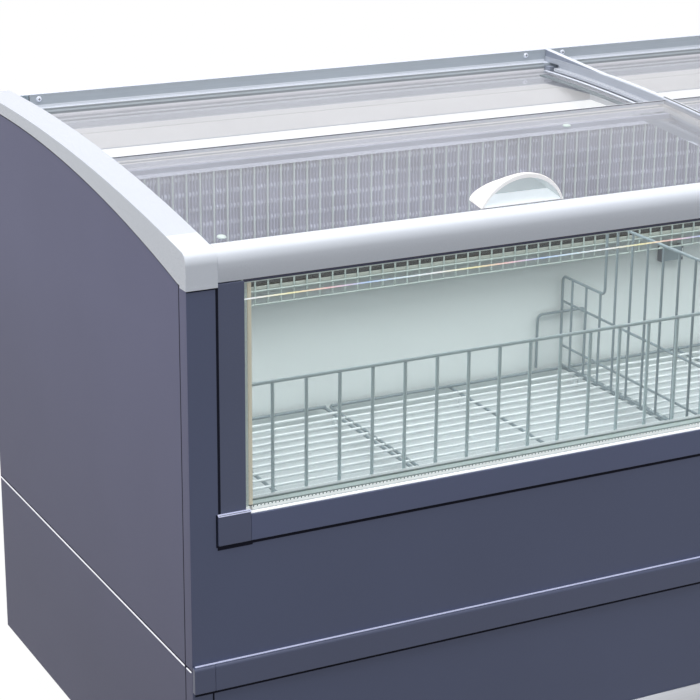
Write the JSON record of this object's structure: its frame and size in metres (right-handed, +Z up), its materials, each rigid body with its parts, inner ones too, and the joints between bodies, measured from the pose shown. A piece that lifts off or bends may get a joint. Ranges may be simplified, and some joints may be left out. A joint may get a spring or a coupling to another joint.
{
  "type": "chest freezer",
  "caption": "Glass-topped chest freezer with a front window, curved sliding lids over fixed rear panes, wire racks and a wire divider inside, and a refrigeration bay below.",
  "frame": {"origin": "on the floor under the middle of the cabinet", "axes": "+X along the length to the right end, +Y from the front to the rear, +Z up"},
  "size_m": [1.912, 0.75, 0.9238],
  "materials": {
    "panel_front": "satin slate paint",
    "panel_side": "satin slate paint",
    "trim_dark": "satin",
    "bumper": "satin",
    "frame_dark": "satin",
    "glass": "clear",
    "spacer": "satin",
    "white_gloss": "gloss white",
    "rail_grey": "satin",
    "track_grey": "satin",
    "gasket": "matt",
    "lid_bar": "satin",
    "liner": "pale satin paint",
    "cover_white": "satin white",
    "fin": "bare",
    "copper": "bare",
    "wire": "pale coated wire",
    "foam": "raw foam",
    "steel_dark": "satin black",
    "base_steel": "zinc grey",
    "plastic_black": "satin",
    "plastic_grey": "satin",
    "plastic_red": "gloss",
    "rear_paint": "satin"
  },
  "bodies": {
    "cabinet": {"base_plate": "base_steel", "feet": "plastic_black", "frame_uprights": "base_steel", "insulation": "foam", "liner_floor": "liner", "liner_rear": "liner", "liner_ends": "liner", "lower_front_panel": "panel_front", "lower_corner_posts": "panel_front", "bumper_rail": "bumper", "waist_trim": "trim_dark", "trim_end_blocks": "trim_dark", "upper_front_panel": "panel_front", "corner_post_left": "panel_front", "corner_post_right": "panel_front", "side_panel_lower_left": "panel_side", "side_panel_lower_right": "panel_side", "side_panel_upper_left": "panel_side", "side_panel_upper_right": "panel_side", "rear_panel": "rear_paint", "rear_grille": "rear_paint", "window_sill": "frame_dark", "window_corner_blocks": "trim_dark", "window_uprights": "frame_dark", "window_panes": "glass", "window_spacer": "spacer", "front_rail": "white_gloss", "end_cap_left": "white_gloss", "end_cap_right": "white_gloss", "rear_rail": "rail_grey", "lid_track_left": "track_grey", "lid_track_right": "track_grey", "mullion": "track_grey", "rear_panes": "glass", "rear_pane_seals": "gasket", "evaporator_cover": "cover_white", "drip_tray": "cover_white", "evaporator_fins": "fin", "evaporator_tubes": "copper", "wire_guard": "wire", "floor_racks": "wire", "front_fence": "wire", "thermometer_holder": "wire", "compressor": "steel_dark", "condenser_coil": "fin", "fan_shroud": "plastic_black", "fan_motor": "base_steel", "control_box": "plastic_grey", "refrigerant_lines": "copper", "drain_set": "plastic_grey"},
    "lid_left": {"lid_glass_left": "glass", "lid_frame_left": "lid_bar", "lid_handle_left": "white_gloss"},
    "lid_right": {"lid_glass_right": "glass", "lid_frame_right": "lid_bar", "lid_handle_right": "white_gloss"},
    "divider": {"wire_divider": "wire"},
    "fan": {"condenser_fan": "plastic_grey"},
    "knob": {"thermostat_knob": "plastic_black"},
    "switch": {"power_switch": "plastic_red"}
  },
  "joints": [
    {"name": "lid_left_slide", "type": "hinge", "parent": "cabinet", "child": "lid_left", "pos_m": [-0.455, 0.313, -3.12619], "axis": [-1, 0, 0], "range_deg": [0, 4.2]},
    {"name": "lid_right_slide", "type": "hinge", "parent": "cabinet", "child": "lid_right", "pos_m": [0.455, 0.313, -3.12619], "axis": [-1, 0, 0], "range_deg": [0, 4.2]},
    {"name": "divider_slide", "type": "slide", "parent": "cabinet", "child": "divider", "axis": [1, 0, 0], "range_m": [-0.827, 0.176]},
    {"name": "fan_spin", "type": "hinge", "parent": "cabinet", "child": "fan", "pos_m": [0.205, 0.005, 0.188], "axis": [1, 0, 0], "continuous": true},
    {"name": "knob_turn", "type": "hinge", "parent": "cabinet", "child": "knob", "pos_m": [0.695, 0.345, 0.2], "axis": [0, 1, 0], "range_deg": [-135, 135]},
    {"name": "switch_rock", "type": "hinge", "parent": "cabinet", "child": "switch", "pos_m": [0.765, 0.335, 0.2], "axis": [1, 0, 0], "range_deg": [-10, 10]}
  ]
}
